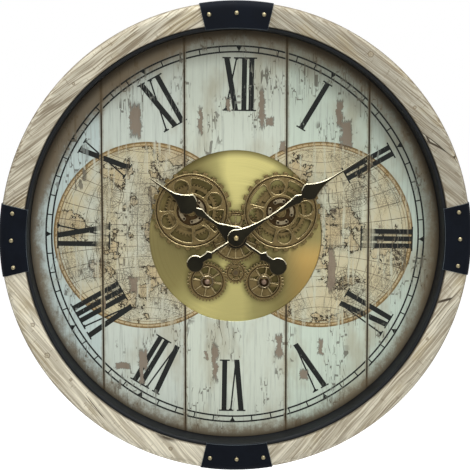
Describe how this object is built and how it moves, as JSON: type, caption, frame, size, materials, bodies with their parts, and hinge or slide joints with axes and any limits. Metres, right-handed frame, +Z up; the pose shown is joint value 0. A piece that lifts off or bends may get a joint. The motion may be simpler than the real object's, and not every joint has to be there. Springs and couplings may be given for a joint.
{
  "type": "gear wall clock",
  "caption": "Large round wall clock: riveted wooden ring, plank dial with Roman numerals, open train of turning gears on a brass plate and two spade hands.",
  "frame": {"origin": "the point where the hands' axis meets the wall: the centre of the back panel's rear face", "axes": "+Y into the wall along the hands' axis, +Z up, +X to the right as seen from the front; the dial faces -Y"},
  "size_m": [0.608, 0.0735, 0.608],
  "materials": {
    "wood": "whitewashed, weathered",
    "drum_black": "painted black, satin",
    "strap_black": "matt powder coat",
    "rivet_metal": "dull plated",
    "dial_face": "printed, distressed",
    "plate_brass": "spun brushed",
    "panel_board": "stained hardboard",
    "black_plastic": "moulded",
    "steel": "bright, slightly worn",
    "aged_bronze": "dark antique",
    "aged_brass": "antique, rubbed edges",
    "hand_black": "painted black, bevelled",
    "cell_wrap": "plain printed sleeve"
  },
  "bodies": {
    "case": {"case_drum": "drum_black", "dial_spacer": "drum_black", "wood_board_top_right": "wood", "wood_board_bottom_right": "wood", "wood_board_bottom_left": "wood", "wood_board_top_left": "wood", "strap_top": "strap_black", "strap_right": "strap_black", "strap_bottom": "strap_black", "strap_left": "strap_black", "rivet_top_1": "rivet_metal", "rivet_top_2": "rivet_metal", "rivet_top_3": "rivet_metal", "rivet_right_1": "rivet_metal", "rivet_right_2": "rivet_metal", "rivet_right_3": "rivet_metal", "rivet_bottom_1": "rivet_metal", "rivet_bottom_2": "rivet_metal", "rivet_bottom_3": "rivet_metal", "rivet_left_1": "rivet_metal", "rivet_left_2": "rivet_metal", "rivet_left_3": "rivet_metal", "dial_board": "dial_face", "gear_plate": "plate_brass", "back_panel": "panel_board", "keyhole_hanger": "steel", "hanger_screw_left": "steel", "hanger_screw_right": "steel", "movement_case": "black_plastic", "movement_cover": "black_plastic", "movement_nut": "steel", "movement_cell": "cell_wrap", "centre_sleeve": "steel", "left_axle": "aged_brass", "right_axle": "aged_brass", "lower_left_axle": "steel", "lower_right_axle": "steel", "gear_motor": "black_plastic", "battery_box": "black_plastic", "motor_cell": "cell_wrap", "motor_wire": "black_plastic"},
    "door": {"battery_door": "black_plastic"},
    "minute": {"minute_arbor": "steel", "minute_hand": "hand_black", "minute_cap_nut": "rivet_metal"},
    "hour": {"hour_tube": "steel", "hour_hand": "hand_black"},
    "setting": {"setting_wheel": "black_plastic"},
    "centre": {"centre_gear": "aged_bronze"},
    "left": {"left_drive_gear": "aged_bronze", "left_wheel": "aged_brass", "left_hub_plate": "steel"},
    "right": {"right_drive_gear": "aged_bronze", "right_wheel": "aged_brass", "right_hub_plate": "steel"},
    "pinion": {"drive_pinion": "aged_bronze", "motor_shaft": "steel"},
    "lower_left": {"lower_left_gear": "aged_bronze"},
    "lower_right": {"lower_right_gear": "aged_bronze"},
    "switch": {"power_switch": "steel"}
  },
  "joints": [
    {"name": "minute_turn", "type": "hinge", "parent": "case", "child": "minute", "pos_m": [0, 0, 0], "axis": [0, 1, 0], "continuous": true},
    {"name": "hour_turn", "type": "hinge", "parent": "case", "child": "hour", "pos_m": [0, 0, 0], "axis": [0, 1, 0], "continuous": true},
    {"name": "setting_turn", "type": "hinge", "parent": "case", "child": "setting", "pos_m": [0, 0, 0.02], "axis": [0, 1, 0], "continuous": true},
    {"name": "left_wheel_turn", "type": "hinge", "parent": "case", "child": "left", "pos_m": [-0.0576, 0, 0.03461], "axis": [0, 1, 0], "continuous": true},
    {"name": "right_wheel_turn", "type": "hinge", "parent": "case", "child": "right", "pos_m": [0.05877, 0, 0.03258], "axis": [0, 1, 0], "continuous": true},
    {"name": "centre_gear_turn", "type": "hinge", "parent": "case", "child": "centre", "pos_m": [0, 0, 0], "axis": [0, 1, 0], "continuous": true},
    {"name": "pinion_turn", "type": "hinge", "parent": "case", "child": "pinion", "pos_m": [0, 0, -0.0476], "axis": [0, 1, 0], "continuous": true},
    {"name": "lower_left_turn", "type": "hinge", "parent": "case", "child": "lower_left", "pos_m": [-0.03739, 0, -0.05939], "axis": [0, 1, 0], "continuous": true},
    {"name": "lower_right_turn", "type": "hinge", "parent": "case", "child": "lower_right", "pos_m": [0.03717, 0, -0.06004], "axis": [0, 1, 0], "continuous": true},
    {"name": "door_lift", "type": "slide", "parent": "case", "child": "door", "axis": [0, 1, 0], "range_m": [0, 0.012]},
    {"name": "switch_slide", "type": "slide", "parent": "case", "child": "switch", "axis": [1, 0, 0], "range_m": [0, 0.004]}
  ],
  "couplings": [
    {"joint": "hour_turn", "follows": "minute_turn", "ratio": 0.083333},
    {"joint": "setting_turn", "follows": "minute_turn", "ratio": -0.33333},
    {"joint": "right_wheel_turn", "follows": "left_wheel_turn", "ratio": 1},
    {"joint": "centre_gear_turn", "follows": "left_wheel_turn", "ratio": -1},
    {"joint": "pinion_turn", "follows": "left_wheel_turn", "ratio": 2.4},
    {"joint": "lower_left_turn", "follows": "left_wheel_turn", "ratio": -1.3333},
    {"joint": "lower_right_turn", "follows": "left_wheel_turn", "ratio": -1.3333}
  ]
}
